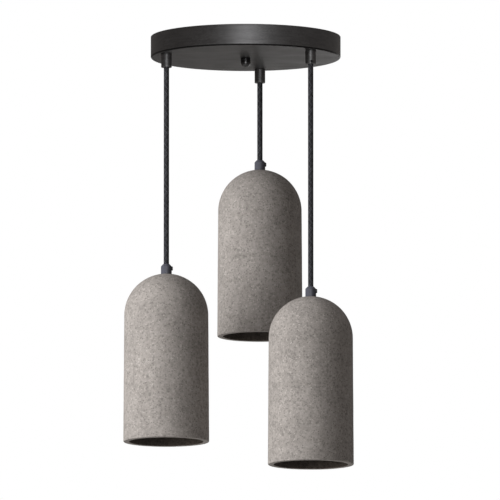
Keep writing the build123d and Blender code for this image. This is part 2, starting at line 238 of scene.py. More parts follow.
def vector_of(tree, x, y, z):
    """A vector from three values."""
    return add(tree, "ShaderNodeCombineXYZ", {0: x, 1: y, 2: z}).outputs[0]


def parts_of(tree, vector):
    """A vector's X, Y and Z."""
    return add(tree, "ShaderNodeSeparateXYZ", {0: vector}).outputs


def ranged(tree, value, low, high, to_low=0.0, to_high=1.0, kind="SMOOTHSTEP"):
    """value mapped from low..high to to_low..to_high, clamped."""
    limits = {"Value": value, "From Min": low, "From Max": high, "To Min": to_low, "To Max": to_high}
    return add(tree, "ShaderNodeMapRange", limits, interpolation_type=kind).outputs["Result"]


def noise(tree, vector, scale, detail=2.0, **more):
    """A noise texture's value."""
    inputs = {"Vector": vector, "Scale": scale, "Detail": detail, **more}
    return add(tree, "ShaderNodeTexNoise", inputs).outputs["Fac"]


def mixed(tree, factor, a, b):
    """A colour mix."""
    return add(tree, "ShaderNodeMix", {0: factor, 6: a, 7: b}, data_type="RGBA").outputs[2]


# ------------------------------------------------------------------ shared shader groups


def brushing_group():
    """Fine parallel brush lines, a slow unevenness and broad bands, along X and round an upright wall."""
    tree, given, result = new_tree("Fine brushing", {"Vector": VECTOR, "Fineness": 900.0, "Length": 60.0},
                                   dict.fromkeys(("Lines", "Cloud", "Bands"), FLOAT))
    parts, fineness = parts_of(tree, given["Vector"]), given["Fineness"]
    stretched = vector_of(tree, times(tree, parts["X"], maths(tree, "DIVIDE", fineness, given["Length"])),
                          times(tree, parts["Y"], fineness), times(tree, parts["Z"], fineness))
    wide = vector_maths(tree, "MULTIPLY", given["Vector"], (5.0, 95.0, 420.0))
    looks = {"Lines": noise(tree, stretched, 1.0, 3.0), "Cloud": noise(tree, given["Vector"], 28.0, 4.0),
             "Bands": noise(tree, wide, 1.0, 3.0)}
    fill(tree, result, {name: ranged(tree, value, 0.3, 0.7) for name, value in looks.items()})
    return tree


def grain_group():
    """Sand in a cast surface: dark grains and pale grains of two sizes, and mottling."""
    tree, given, result = new_tree(
        "Sand grain", {"Vector": VECTOR, "Grains per metre": 650.0, "Dark share": 0.2, "Pale share": 0.15},
        dict.fromkeys(("Dark", "Pale", "Mottle", "Height"), FLOAT))
    dark = pale = 0.0
    for share_of_scale, strength in ((1.0, 1.0), (0.55, 0.65)):
        scale = times(tree, given["Grains per metre"], share_of_scale)
        cells = add(tree, "ShaderNodeTexVoronoi", {"Vector": given["Vector"], "Scale": scale})
        pick = add(tree, "ShaderNodeSeparateColor", {0: cells.outputs["Color"]}).outputs
        inside = times(tree, ranged(tree, cells.outputs["Distance"], 0.5, 0.25), strength)
        chosen = [times(tree, inside, maths(tree, "LESS_THAN", pick[number], given[share]))
                  for number, share in enumerate(("Dark share", "Pale share"))]
        dark, pale = maths(tree, "MAXIMUM", chosen[0], dark), maths(tree, "MAXIMUM", chosen[1], pale)
    layers = [noise(tree, given["Vector"], times(tree, given["Grains per metre"], share_of_scale))
              for share_of_scale in (1.3, 0.45, 0.08)]
    mottle = 0.0
    for layer, weight in zip(layers, (0.4, 0.35, 0.25)):
        mottle = maths(tree, "ADD", times(tree, ranged(tree, layer, 0.3, 0.7), weight), mottle)
    height = maths(tree, "SUBTRACT", times(tree, layers[0], 0.5), times(tree, dark, 0.8))
    fill(tree, result, {"Dark": dark, "Pale": pale, "Mottle": mottle, "Height": height})
    return tree


def handling_group():
    """Dust and handling on a smooth surface: soft smudges and sparse specks."""
    tree, given, result = new_tree("Handling", {"Vector": VECTOR, "Scale": 60.0},
                                   dict.fromkeys(("Smudge", "Speck"), FLOAT))
    smudge = noise(tree, given["Vector"], given["Scale"], 5.0, Roughness=0.6, Distortion=0.4)
    specks = add(tree, "ShaderNodeTexVoronoi", {"Vector": given["Vector"], "Scale": times(tree, given["Scale"], 14.0)})
    fill(tree, result, {"Smudge": ranged(tree, smudge, 0.35, 0.7),
                        "Speck": ranged(tree, specks.outputs["Distance"], 0.16, 0.08)})
    return tree


# ------------------------------------------------------------------ materials


def start_material(name):
    """A material with only its Principled shader: (material, tree, shader, object coordinates)."""
    material = bpy.data.materials.new(name)
    material.use_nodes = True
    tree = material.node_tree
    return material, tree, tree.nodes["Principled BSDF"], tree.nodes.new("ShaderNodeTexCoord").outputs["Object"]


def use_group(tree, maker, place, **inputs):
    """A shared group placed in a material, with its own values."""
    return add(tree, "ShaderNodeGroup", {"Vector": place, **inputs}, node_tree=built(maker)).outputs


def tinted(colour, factor):
    """A colour made darker or paler."""
    return [min(1.0, c * factor) for c in colour]


def bump(tree, shader, height, strength, distance):
    """Feed a height through a Bump node into the shader's normal."""
    node = add(tree, "ShaderNodeBump", {"Height": height, "Strength": strength, "Distance": distance})
    fill(tree, shader, {"Normal": node.outputs[0]})


def concrete_material(name, colour, grain, contrast):
    """Cast concrete: warm grey paste with dark and pale sand."""
    material, tree, shader, place = start_material(name)
    sand = use_group(tree, grain_group, place, **{"Grains per metre": 1 / grain, "Dark share": 0.3,
                                                  "Pale share": 0.13})
    spread = 0.28 * contrast
    paste = mixed(tree, sand["Mottle"], tinted(colour, 1 - spread), tinted(colour, 1 + spread))
    with_dark = mixed(tree, times(tree, sand["Dark"], 0.55), paste, tinted(colour, 0.3))
    with_pale = mixed(tree, times(tree, sand["Pale"], 0.42), with_dark, tinted(colour, 1.9))
    fill(tree, shader, {"Base Color": with_pale, "Roughness": ranged(tree, sand["Mottle"], 0.0, 1.0, 0.95, 0.8),
                        "Specular IOR Level": 0.25})
    bump(tree, shader, sand["Height"], 0.5, 0.25 * MM)
    return material


def black_metal_material(name, colour, rough, lines=0.5, painted_shade_band=None):
    """Charcoal lacquer over brushed steel, with painted shade darkening it between the band's two heights when a band
    is given.
    """
    material, tree, shader, place = start_material(name)
    brush = use_group(tree, brushing_group, place, Fineness=1100.0, Length=70.0)
    touch = use_group(tree, handling_group, place, Scale=30.0)
    tone = maths(tree, "ADD", times(tree, brush["Lines"], lines), times(tree, brush["Bands"], 0.5))
    shade = mixed(tree, tone, tinted(colour, 0.84), tinted(colour, 1.28))
    # painted shade: a thin dark line just above the lower edge, where shade falls on the rolled edge
    if painted_shade_band:
        height, (low, high) = parts_of(tree, place)["Z"], painted_shade_band
        above = ranged(tree, height, low - 0.2 * MM, low + 0.1 * MM)
        below = ranged(tree, height, high + 0.5 * MM, high)
        shade = mixed(tree, times(tree, above, below), shade, tinted(colour, 0.12))
    unevenness = times(tree, maths(tree, "ADD", touch["Smudge"], brush["Cloud"]), 0.03)
    worn = maths(tree, "ADD", ranged(tree, brush["Lines"], 0.0, 1.0, rough - 0.02, rough + 0.04), unevenness)
    fill(tree, shader, {"Base Color": shade, "Roughness": worn, "Metallic": 1.0})
    bump(tree, shader, brush["Lines"], 0.2, 0.02 * MM)
    return material


def plain_metal_material(name, colour, rough):
    """Bare or plated metal with drawn lines and slight tarnish."""
    material, tree, shader, place = start_material(name)
    brush = use_group(tree, brushing_group, place, Fineness=700.0, Length=20.0)
    touch = use_group(tree, handling_group, place, Scale=70.0)
    fill(tree, shader, {"Base Color": mixed(tree, times(tree, touch["Smudge"], 0.6), colour, tinted(colour, 0.62)),
                        "Roughness": ranged(tree, brush["Lines"], 0.0, 1.0, rough - 0.08, rough + 0.1),
                        "Metallic": 1.0})
    bump(tree, shader, brush["Lines"], 0.2, 0.02 * MM)
    return material


def moulded_material(name, colour, rough, fleck=0.25):
    """Moulded plastic: fine orange peel, smudges and dust specks."""
    material, tree, shader, place = start_material(name)
    touch = use_group(tree, handling_group, place, Scale=90.0)
    pale = [min(1.0, c * 1.35 + 0.01) for c in colour]
    mask = maths(tree, "ADD", times(tree, touch["Smudge"], fleck), times(tree, touch["Speck"], 0.25))
    fill(tree, shader, {"Base Color": mixed(tree, mask, colour, pale),
                        "Roughness": ranged(tree, touch["Smudge"], 0.0, 1.0, rough - 0.06, rough + 0.08)})
    bump(tree, shader, noise(tree, place, 2600.0), 0.15, 0.05 * MM)
    return material


def braid_material(name, colour):
    """Polyester braid: dark yarns with a cool sheen and a few pale filaments, read from the yarns' own values, with
    painted shade in the valleys and a painted highlight on the crests.
    """
    material, tree, shader, place = start_material(name)
    over, yarn = (add(tree, "ShaderNodeAttribute", attribute_name=value).outputs["Fac"]
                  for value in ("yarn_height", "yarn_pick"))
    fibre = noise(tree, place, 5200.0)
    # painted shade in the valleys between yarns and a painted highlight on their crests, by the yarns' height
    tone = mixed(tree, ranged(tree, over, 0.1, 0.9), tinted(colour, 0.3), tinted(colour, 1.5))
    pale = mixed(tree, times(tree, ranged(tree, yarn, 0.68, 0.85), 0.8), tone, tinted(colour, 9))
    fill(tree, shader, {"Base Color": mixed(tree, times(tree, fibre, 0.5), pale, tone),
                        "Roughness": ranged(tree, fibre, 0.3, 0.7, 0.5, 0.8), "Specular IOR Level": 0.3,
                        "Sheen Weight": 0.04, "Sheen Roughness": 0.4, "Sheen Tint": (0.75, 0.83, 1.0)})
    bump(tree, shader, fibre, 0.4, 0.06 * MM)
    return material


def opal_material(name):
    """White opal glass with a faint unevenness in its skin."""
    material, tree, shader, place = start_material(name)
    touch = use_group(tree, handling_group, place, Scale=45.0)
    fill(tree, shader, {"Base Color": mixed(tree, touch["Smudge"], (0.82, 0.81, 0.78), (0.88, 0.875, 0.85)),
                        "Roughness": ranged(tree, touch["Smudge"], 0.0, 1.0, 0.16, 0.26),
                        "Subsurface Weight": 0.25, "Subsurface Radius": (0.004, 0.004, 0.004),
                        "Coat Weight": 0.3, "Coat Roughness": 0.1})
    return material


def fibre_material(name, colour):
    """Pressed fibre: matted short strands."""
    material, tree, shader, place = start_material(name)
    mask = ranged(tree, noise(tree, place, 900.0, 6.0, Roughness=0.75), 0.3, 0.7)
    fill(tree, shader, {"Base Color": mixed(tree, mask, tinted(colour, 0.7), tinted(colour, 1.3)),
                        "Roughness": ranged(tree, mask, 0.0, 1.0, 0.95, 0.8)})
    bump(tree, shader, mask, 0.5, 0.1 * MM)
    return material


@functools.cache
def finish(name):
    """A finish, by the record's slot name or by a name of its own, made once."""
    looks, grain = bpy.context.scene.pendant_looks, bpy.context.scene.pendant_sizes.grain
    edge = corners("canopy")[0].z
    maker, *values = {
        "concrete": (concrete_material, "Cast concrete", looks.concrete, grain, 1.0),
        # painted shade: darker concrete for the insides of the shades
        "concrete_painted_shade_inside": (concrete_material, "Dark coat in the shade", looks.concrete_painted_shade_inside, grain, 1.4),
        "black_metal": (black_metal_material, "Charcoal brushed metal", looks.black, 0.42),
        # the canopy's metal carries a painted shade line along its rolled lower edge
        "canopy": (black_metal_material, "Canopy metal", looks.black, 0.42, 0.7, (edge + 0.05 * MM, edge + 1.6 * MM)),
        "black_screw": (black_metal_material, "Blackened screw", tinted(looks.black, 0.3), 0.3, 0.2),
        "cap_nut": (black_metal_material, "Black cap nut", tinted(looks.black, 0.55), 0.2, 0.1),
        "black_cord": (braid_material, "Braided cord", looks.cord),
        "collar_plastic": (moulded_material, "Blue grey moulding", looks.collar, 0.5),
        "holder_plastic": (moulded_material, "Black thermoset", (0.018, 0.018, 0.02), 0.3, 0.1),
        "block_plastic": (moulded_material, "Natural nylon", (0.7, 0.67, 0.58), 0.42),
        "lead_sheath": (moulded_material, "Blue wire sheath", (0.02, 0.09, 0.42), 0.4),
        "zinc_steel": (plain_metal_material, "Zinc plated steel", (0.6, 0.6, 0.58), 0.34),
        "brass": (plain_metal_material, "Brass", (0.72, 0.5, 0.2), 0.3),
        "cap_metal": (plain_metal_material, "Nickel plated cap", (0.66, 0.65, 0.62), 0.28),
        "opal_glass": (opal_material, "Opal glass"),
        "fibre": (fibre_material, "Pressed fibre", (0.19, 0.13, 0.09)),
    }[name]
    return maker(*values)


# ------------------------------------------------------------------ mesh helpers


def place_object(name, data):
    """A new object at the origin that shows a mesh or a curve."""
    piece = bpy.data.objects.new(name, data)
    bpy.context.scene.collection.objects.link(piece)
    return piece


def mesh_of(name, work):
    """A mesh of a bmesh, which is freed."""
    mesh = bpy.data.meshes.new(name)
    work.to_mesh(mesh)
    work.free()
    return mesh


def smooth(mesh, angle=30.0):
    """Shade a mesh smoothly, apart from edges sharper than angle."""
    mesh.shade_smooth()
    mesh.set_sharp_from_angle(angle=math.radians(angle))


def face_outward(mesh):
    """Merge doubles and point every face out of the closed mesh."""
    work = bmesh.new()
    work.from_mesh(mesh)
    bmesh.ops.remove_doubles(work, verts=work.verts, dist=1e-7)
    bmesh.ops.recalc_face_normals(work, faces=work.faces)
    if work.calc_volume(signed=True) < 0:
        bmesh.ops.reverse_faces(work, faces=work.faces)
    work.to_mesh(mesh)
    work.free()
    mesh.update()


def turned_mesh(name, outline, centre, segments):
    """A closed mesh turned from an outline of (radius, height), about an upright line through centre.

    A radius is one number, or one for each angle. An outline that doesn't start and end on the axis goes up the
    outside and back down the inside, and is joined end to end.
    """
    angles = np.arange(segments) * (2 * math.pi / segments)
    points, starts, on_axis = [], [], []
    for radius, height in outline:
        starts.append(len(points))
        on_axis.append(bool(np.max(radius) < 1e-9))
        if on_axis[-1]:
            points.append((centre[0], centre[1], height))
        else:
            points.extend(zip(centre[0] + radius * np.cos(angles), centre[1] + radius * np.sin(angles),
                              [height] * segments))
    pairs = list(zip(range(len(outline)), range(1, len(outline))))
    if not (on_axis[0] and on_axis[-1]):
        pairs.append((len(outline) - 1, 0))
    faces = []
    for low, high in pairs:
        for step in range(segments):
            after = (step + 1) % segments
            under = [starts[low]] if on_axis[low] else [starts[low] + step, starts[low] + after]
            over = [starts[high]] if on_axis[high] else [starts[high] + after, starts[high] + step]
            faces.append((*under, *over))
    mesh = bpy.data.meshes.new(name)
    mesh.from_pydata(points, [], faces)
    face_outward(mesh)
    return mesh


def turned(name, outline, centre, segments):
    """A piece turned from an outline."""
    return place_object(name, turned_mesh(name, outline, centre, segments))


def arc(centre, radius, start, end, steps):
    """Points of an arc in an outline's plane, from start to end in degrees, both ends included."""
    turns = np.radians(np.linspace(start, end, steps + 1))
    return [(centre[0] + radius * math.cos(t), centre[1] + radius * math.sin(t)) for t in turns]


def even_line(start, end, step):
    """Points from start towards end, about step apart, without the end."""
    count = max(1, round(math.dist(start, end) / step))
    shares = np.arange(count) / count
    return [(start[0] + (end[0] - start[0]) * s, start[1] + (end[1] - start[1]) * s) for s in shares]


def bent(first, corner, last, reach):
    """Points from near first to last, with the corner eased by a curve that reaches that far each way."""
    first, corner, last = (Vector((*point, 0.0)) for point in (first, corner, last))
    before, after = (corner + (end - corner).normalized() * min(reach, (end - corner).length * 0.6)
                     for end in (first, last))
    eased = [before * (1 - t) ** 2 + corner * 2 * t * (1 - t) + after * t * t for t in np.linspace(0, 1, 9)]
    return [(point.x, point.y) for point in [*eased, last]]


def evaluated_mesh(piece):
    """A plain mesh of what a piece's modifiers make of it."""
    depsgraph = bpy.context.evaluated_depsgraph_get()
    depsgraph.update()
    return bpy.data.meshes.new_from_object(piece.evaluated_get(depsgraph), depsgraph=depsgraph)


def bake_modifiers(piece):
    """Replace a piece's mesh by what its modifiers make of it, and remove them."""
    made, old = evaluated_mesh(piece), piece.data
    piece.modifiers.clear()
    piece.data = made
    if old.users == 0:
        bpy.data.meshes.remove(old)


def cut_away(piece, cutters):
    """Cut closed meshes out of a piece, and drop them."""
    for cutter in cutters:
        modifier = piece.modifiers.new("Cut", "BOOLEAN")
        modifier.operation = "DIFFERENCE"
        modifier.solver = "EXACT"
        modifier.object = cutter
    bake_modifiers(piece)
    for cutter in cutters:
        bpy.data.meshes.remove(cutter.data)


def rod(start, end, radius, segments=24):
    """A closed round rod between two points, used as a cutter."""
    start, end = Vector(start), Vector(end)
    work = bmesh.new()
    bmesh.ops.create_cone(work, cap_ends=True, segments=segments, radius1=radius, radius2=radius,
                          depth=(end - start).length)
    turn = (end - start).to_track_quat("Z", "Y").to_matrix().to_4x4()
    bmesh.ops.transform(work, matrix=Matrix.Translation((start + end) / 2) @ turn, verts=work.verts)
    return place_object("rod", mesh_of("rod", work))


def show(piece, body, slot, *nodes):
    """Put a finished piece on its body, in the place of CAD nodes. The slot is not used."""
    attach(piece, body)
    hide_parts(*nodes)


def give(piece, name, angle):
    """One finish and smooth shading for a piece."""
    piece.data.materials.clear()
    piece.data.materials.append(finish(name))
    smooth(piece.data, angle)


# ------------------------------------------------------------------ geometry trees


def geometry_tree(name, inputs):
    """An empty geometry tree with those inputs: (tree, its inputs, its output node)."""
    return new_tree(name, {"Geometry": GEOMETRY, **inputs}, {"Geometry": GEOMETRY}, "GeometryNodeTree")


def moved_by(tree, geometry, vector, factor):
    """Geometry whose points move by a vector times a value."""
    offset = add(tree, "ShaderNodeVectorMath", {0: vector, "Scale": factor}, operation="SCALE").outputs[0]
    return add(tree, "GeometryNodeSetPosition", {"Geometry": geometry, "Offset": offset}).outputs[0]


def end_tree(tree, geometry, material, result):
    """Finish a tree: real geometry with its material."""
    real = add(tree, "GeometryNodeRealizeInstances", {"Geometry": geometry}).outputs[0]
    painted = add(tree, "GeometryNodeSetMaterial", {"Geometry": real, "Material": material}).outputs[0]
    tree.links.new(painted, result.inputs[0])
    return painted


def run_tree(piece, maker, values):
    """Turn a piece into the mesh that a tree makes of it, with the tree's inputs set by name."""
    tree = built(maker)
    modifier = piece.modifiers.new(tree.name, "NODES")
    modifier.node_group = tree
    known = {item.name: item.identifier for item in tree.interface.items_tree if item.in_out == "INPUT"}
    for name, value in values.items():
        modifier[known[name]] = value
    if piece.type == "MESH":
        bake_modifiers(piece)
    else:
        name, made = piece.name, evaluated_mesh(piece)
        bpy.data.objects.remove(piece)
        piece = place_object(name, made)
    if not piece.data.polygons:
        raise RuntimeError(f"{tree.name} made nothing of {piece.name}")
    return piece


def cast_surface_tree():
    """Concrete out of a mould: air holes, a slow unevenness, and painted shade on the inside faces that the mesh marks.
    """
    tree, given, result = geometry_tree("Cast surface", {
        "Pit size": 3 * MM, "Pit share": 0.2, "Pit depth": 0.5 * MM, "Unevenness": 0.2 * MM, "Seed": 0.0,
        "Outside": MATERIAL, "Inside": MATERIAL})
    place = tree.nodes.new("GeometryNodeInputPosition").outputs[0]
    normal = tree.nodes.new("GeometryNodeInputNormal").outputs[0]
    moved = vector_maths(tree, "ADD", place, vector_of(tree, given["Seed"], given["Seed"], 0.0))
    cells = add(tree, "ShaderNodeTexVoronoi", {"Vector": moved, "Scale": maths(tree, "DIVIDE", 1.0, given["Pit size"])})
    pick = parts_of(tree, cells.outputs["Color"])
    size = ranged(tree, pick[1], 0.0, 1.0, 0.14, 0.4, "LINEAR")
    hollow = ranged(tree, maths(tree, "DIVIDE", cells.outputs["Distance"], size), 1.0, 0.35)
    pit = times(tree, hollow, maths(tree, "LESS_THAN", pick[0], given["Pit share"]), given["Pit depth"])
    slow = maths(tree, "SUBTRACT", noise(tree, moved, 30.0, 3.0), 0.5)
    push = maths(tree, "SUBTRACT", times(tree, slow, given["Unevenness"]), pit)
    painted = end_tree(tree, moved_by(tree, given["Geometry"], normal, push), given["Outside"], result)
    # painted shade: faces marked inside take the darker concrete
    inside = add(tree, "GeometryNodeInputNamedAttribute", {"Name": "inside"}, data_type="BOOLEAN").outputs[0]
    painted_inside_shade = add(tree, "GeometryNodeSetMaterial", {"Geometry": painted, "Selection": inside,
                                                   "Material": given["Inside"]}).outputs[0]
    tree.links.new(painted_inside_shade, result.inputs[0])
    return tree


def braid_tree():
    """A braided sheath along a curve: two hands of yarns that pass over and under each other."""
    tree, given, result = geometry_tree("Braided cord", {
        "Radius": 3.5 * MM, "Yarns": 16.0, "Pitch": 26 * MM, "Relief": 0.3 * MM, "Start": 0.0, "Step": 0.5 * MM,
        "Sides": 96, "Material": MATERIAL})

    def captured(curve, name, measure):
        """A curve that carries a value of its own line, and that value."""
        node = add(tree, "GeometryNodeCaptureAttribute", domain="POINT")
        node.capture_items.new("FLOAT", name)
        parameter = tree.nodes.new("GeometryNodeSplineParameter").outputs[measure]
        fill(tree, node, {0: curve, 1: parameter})
        return node.outputs[0], node.outputs[1]

    line = add(tree, "GeometryNodeResampleCurve", {"Curve": given["Geometry"], "Length": given["Step"]}, mode="LENGTH")
    ring = add(tree, "GeometryNodeCurvePrimitiveCircle", {"Resolution": given["Sides"], "Radius": given["Radius"]})
    path, along = captured(line.outputs[0], "Along", "Length")
    profile, around = captured(ring.outputs[0], "Around", "Factor")
    tube = add(tree, "GeometryNodeCurveToMesh", {"Curve": path, "Profile Curve": profile, "Fill Caps": True}).outputs[0]
    turns = times(tree, around, given["Yarns"])
    travel = times(tree, maths(tree, "DIVIDE", maths(tree, "ADD", along, given["Start"]), given["Pitch"]),
                   given["Yarns"])
    hands = [maths(tree, "ADD", turns, travel), maths(tree, "SUBTRACT", turns, travel)]
    number = [maths(tree, "FLOOR", hand) for hand in hands]
    crown = [maths(tree, "SINE", times(tree, maths(tree, "FRACT", hand), math.pi)) for hand in hands]
    sum_of = maths(tree, "ADD", number[0], number[1])
    first_over = maths(tree, "LESS_THAN", maths(tree, "FLOORED_MODULO", sum_of, 2.0), 0.5)

    def choose(when_first, otherwise):
        """One value where the first hand is on top, and the other elsewhere."""
        return add(tree, "GeometryNodeSwitch", {0: first_over, 1: otherwise, 2: when_first},
                   input_type="FLOAT").outputs[0]

    dip = choose(crown[1], crown[0])
    height = times(tree, maths(tree, "POWER", choose(crown[0], crown[1]), 0.5),
                   maths(tree, "ADD", times(tree, dip, 0.45), 0.55))
    wrapped = [maths(tree, "FLOORED_MODULO", item, given["Yarns"]) for item in number]
    which = choose(wrapped[0], maths(tree, "ADD", wrapped[1], given["Yarns"]))
    pick = add(tree, "FunctionNodeRandomValue", {"ID": which, "Seed": 7}, data_type="FLOAT").outputs[1]
    sunk = times(tree, maths(tree, "SUBTRACT", height, 1.0), given["Relief"])
    shaped = moved_by(tree, tube, tree.nodes.new("GeometryNodeInputNormal").outputs[0], sunk)
    for name, value in (("yarn_height", height), ("yarn_pick", pick)):
        shaped = add(tree, "GeometryNodeStoreNamedAttribute", {"Geometry": shaped, "Name": name, "Value": value},
                     data_type="FLOAT", domain="POINT").outputs[0]
    end_tree(tree, shaped, given["Material"], result)
    return tree


def fastener_tree():
    """A fastener set at each point, facing along the point's own direction, each turned by chance."""
    tree, given, result = geometry_tree("Set fasteners", {
        "Fastener": OBJECT, "Turn": 2 * math.pi, "Seed": 1, "Material": MATERIAL})
    facing = add(tree, "GeometryNodeInputNamedAttribute", {"Name": "facing"}, data_type="FLOAT_VECTOR").outputs[0]
    aimed = add(tree, "FunctionNodeAlignRotationToVector", {"Vector": facing}, axis="Z").outputs[0]
    spin = add(tree, "FunctionNodeRandomValue", {2: 0.0, 3: given["Turn"], "Seed": given["Seed"]},
               data_type="FLOAT").outputs[1]
    about_itself = add(tree, "FunctionNodeEulerToRotation", {0: vector_of(tree, 0.0, 0.0, spin)}).outputs[0]
    spun = add(tree, "FunctionNodeRotateRotation", {0: aimed, 1: about_itself}, rotation_space="LOCAL").outputs[0]
    shown = add(tree, "GeometryNodeObjectInfo", {"Object": given["Fastener"], "As Instance": True})
    copies = add(tree, "GeometryNodeInstanceOnPoints", {
        "Points": given["Geometry"], "Instance": shown.outputs["Geometry"], "Rotation": spun}).outputs[0]
    end_tree(tree, copies, given["Material"], result)
    return tree


def ridge_tree(name, inputs, ridges):
    """Ridges between two heights round a turned mesh, outside of a least radius.

    ridges gives how many ridges have passed at a turn and a height, and the length that they fade in.
    """
    tree, given, result = geometry_tree(name, {
        "Centre": VECTOR, **inputs, "Depth": 0.4 * MM, "Low": 0.0, "High": 1.0, "Least radius": 0.0,
        "Material": MATERIAL})
    place = tree.nodes.new("GeometryNodeInputPosition").outputs[0]
    parts = parts_of(tree, vector_maths(tree, "SUBTRACT", place, given["Centre"]))
    turn = maths(tree, "DIVIDE", maths(tree, "ARCTAN2", parts["Y"], parts["X"]), 2 * math.pi)
    height, level = parts["Z"], vector_of(tree, parts["X"], parts["Y"], 0.0)
    passed, fade_length = ridges(tree, given, turn, height)
    wave = times(tree, maths(tree, "SUBTRACT", 1.0, maths(tree, "COSINE", times(tree, passed, 2 * math.pi))), 0.5)
    low, high = given["Low"], given["High"]
    fade = times(tree, ranged(tree, height, low, maths(tree, "ADD", low, fade_length)),
                 ranged(tree, height, high, maths(tree, "SUBTRACT", high, fade_length)))
    reach = add(tree, "ShaderNodeVectorMath", {0: level}, operation="LENGTH").outputs["Value"]
    outer = maths(tree, "GREATER_THAN", reach, given["Least radius"])
    shaped = moved_by(tree, given["Geometry"], vector_maths(tree, "NORMALIZE", level),
                      times(tree, wave, fade, outer, given["Depth"], -1.0))
    end_tree(tree, shaped, given["Material"], result)
    return tree


def thread_tree():
    """A rolled thread: one ridge that climbs by a pitch in each turn."""

    def climbing(tree, given, turn, height):
        """How far round the thread a place is, and the thread's pitch."""
        passed = maths(tree, "SUBTRACT", maths(tree, "DIVIDE", height, given["Pitch"]), turn)
        return maths(tree, "FRACT", passed), given["Pitch"]

    return ridge_tree("Rolled thread", {"Pitch": 1 * MM}, climbing)


def rib_tree():
    """Upright grip ribs."""

    def upright(tree, given, turn, height):
        """How many ribs have passed at a turn, and the length that a rib's end fades in."""
        return times(tree, turn, given["Count"]), MM

    return ridge_tree("Grip ribs", {"Count": 36.0}, upright)


# ------------------------------------------------------------------ threads and fasteners


def threaded(piece, axis, pitch, depth, low, high, least_radius, name="zinc_steel"):
    """Roll a thread on a turned piece, between two heights."""
    run_tree(piece, thread_tree, {
        "Centre": (axis[0], axis[1], 0.0), "Pitch": pitch, "Depth": depth, "Low": low, "High": high,
        "Least radius": least_radius, "Material": finish(name)})


def hexagon(flats, segments):
    """Radius of a hexagon at each of the segments' angles."""
    turns = np.arange(segments) * (2 * math.pi / segments)
    return flats / 2 / np.cos((turns + math.pi / 6) % (math.pi / 3) - math.pi / 6)


def hex_nut_mesh(flats, height, bore, segments=96):
    """A hexagon nut with both faces chamfered to a circle and a countersunk bore, standing on its face at z = 0."""
    outline = []
    for share in (0.0, 0.04, 0.08, 0.12, 0.16, 0.5, 0.84, 0.88, 0.92, 0.96, 1.0):
        rise = min(share, 1 - share) * height
        outline.append((np.minimum(hexagon(flats, segments), flats * 0.475 + rise * 1.7), share * height))
    sink = min(0.4 * MM, height / 6)
    outline += [(bore + sink, height), (bore, height - sink), (bore, sink), (bore + sink, 0.0)]
    return turned_mesh("nut", outline, (0, 0), segments)


def socket_screw_mesh(radius, height, edge, key=2 * MM, depth=1.2 * MM, segments=72):
    """A round screw end with a hexagon socket, from z = 0 up."""
    outline = [(0.0, 0.0), (radius, 0.0), (radius, height / 2)]
    outline += arc((radius - edge, height - edge), edge, 0, 90, 5)
    outline += [((radius + key / 2) / 2, height), (hexagon(key * 1.08, segments), height),
                (hexagon(key, segments), height - 0.1 * MM), (hexagon(key, segments), height - depth),
                (0.0, height - depth)]
    return turned_mesh("socket_screw", outline, (0, 0), segments)


def slotted_screw_mesh(radius, height, width, depth):
    """A cheese-head screw end with a driver slot, from z = 0 up."""
    edge = 0.3 * MM
    outline = [(0.0, 0.0), (radius, 0.0), (radius, height / 2)]
    outline += arc((radius - edge, height - edge), edge, 0, 90, 4) + [(0.0, height)]
    head = turned("slotted_screw", outline, (0, 0), 48)
    work = bmesh.new()
    bmesh.ops.create_cube(work, size=1.0)
    bmesh.ops.scale(work, vec=(3 * radius, width, 2 * depth), verts=work.verts)
    bmesh.ops.translate(work, vec=(0, 0, height), verts=work.verts)
    cut_away(head, [place_object("bar", mesh_of("bar", work))])
    mesh = head.data
    bpy.data.objects.remove(head)
    return mesh


def set_fasteners(name, mesh, places, material, turn=2 * math.pi, seed=1):
    """Copies of a fastener's mesh at places, each a point and the direction that it faces, as one object."""
    pattern = place_object("pattern", mesh)
    points = bpy.data.meshes.new(name)
    points.from_pydata([tuple(point) for point, _ in places], [], [])
    facing = points.attributes.new("facing", "FLOAT_VECTOR", "POINT")
    facing.data.foreach_set("vector", [c for _, way in places for c in way.normalized()])
    piece = place_object(name, points)
    run_tree(piece, fastener_tree, {"Fastener": pattern, "Turn": turn, "Seed": seed, "Material": finish(material)})
    bpy.data.objects.remove(pattern)
    bpy.data.meshes.remove(mesh)
    smooth(piece.data)
    return piece


def set_nuts(name, body, node, flats, bore, axes):
    """Hexagon nuts in the place of a CAD node, one on each upright axis."""
    places = [(Vector((axis.x, axis.y, corners(node)[0].z)), UP) for axis in axes]
    nuts = set_fasteners(name, hex_nut_mesh(flats, span(node, 2), bore), places, "zinc_steel", turn=0.0)
    show(nuts, body, "zinc_steel", node)


# ------------------------------------------------------------------ cords


def braided(name, points, start):
    """A braided length of cord along NURBS control points, below start metres of cord: (piece, its centre line)."""
    sizes = bpy.context.scene.pendant_sizes
    curve = bpy.data.curves.new(name, "CURVE")
    curve.dimensions = "3D"
    curve.resolution_u = 12
    spline = curve.splines.new("NURBS")
    spline.points.add(len(points) - 1)
    for item, point in zip(spline.points, points):
        item.co = (*point, 1.0)
    spline.order_u = 3
    spline.use_endpoint_u = True
    piece = place_object(name, curve)
    centre_line = bpy.data.meshes.new_from_object(piece)
    line = [tuple(vertex.co) for vertex in centre_line.vertices]
    bpy.data.meshes.remove(centre_line)
    piece = run_tree(piece, braid_tree, {
        "Radius": span("cord_run_left", 0) / 2 + 0.1 * MM, "Yarns": float(sizes.yarns), "Pitch": sizes.braid_pitch,
        "Relief": sizes.braid_relief, "Start": start, "Step": 0.5 * MM, "Sides": 96,
        "Material": finish("black_cord")})
    smooth(piece.data, 60)
    return piece, line


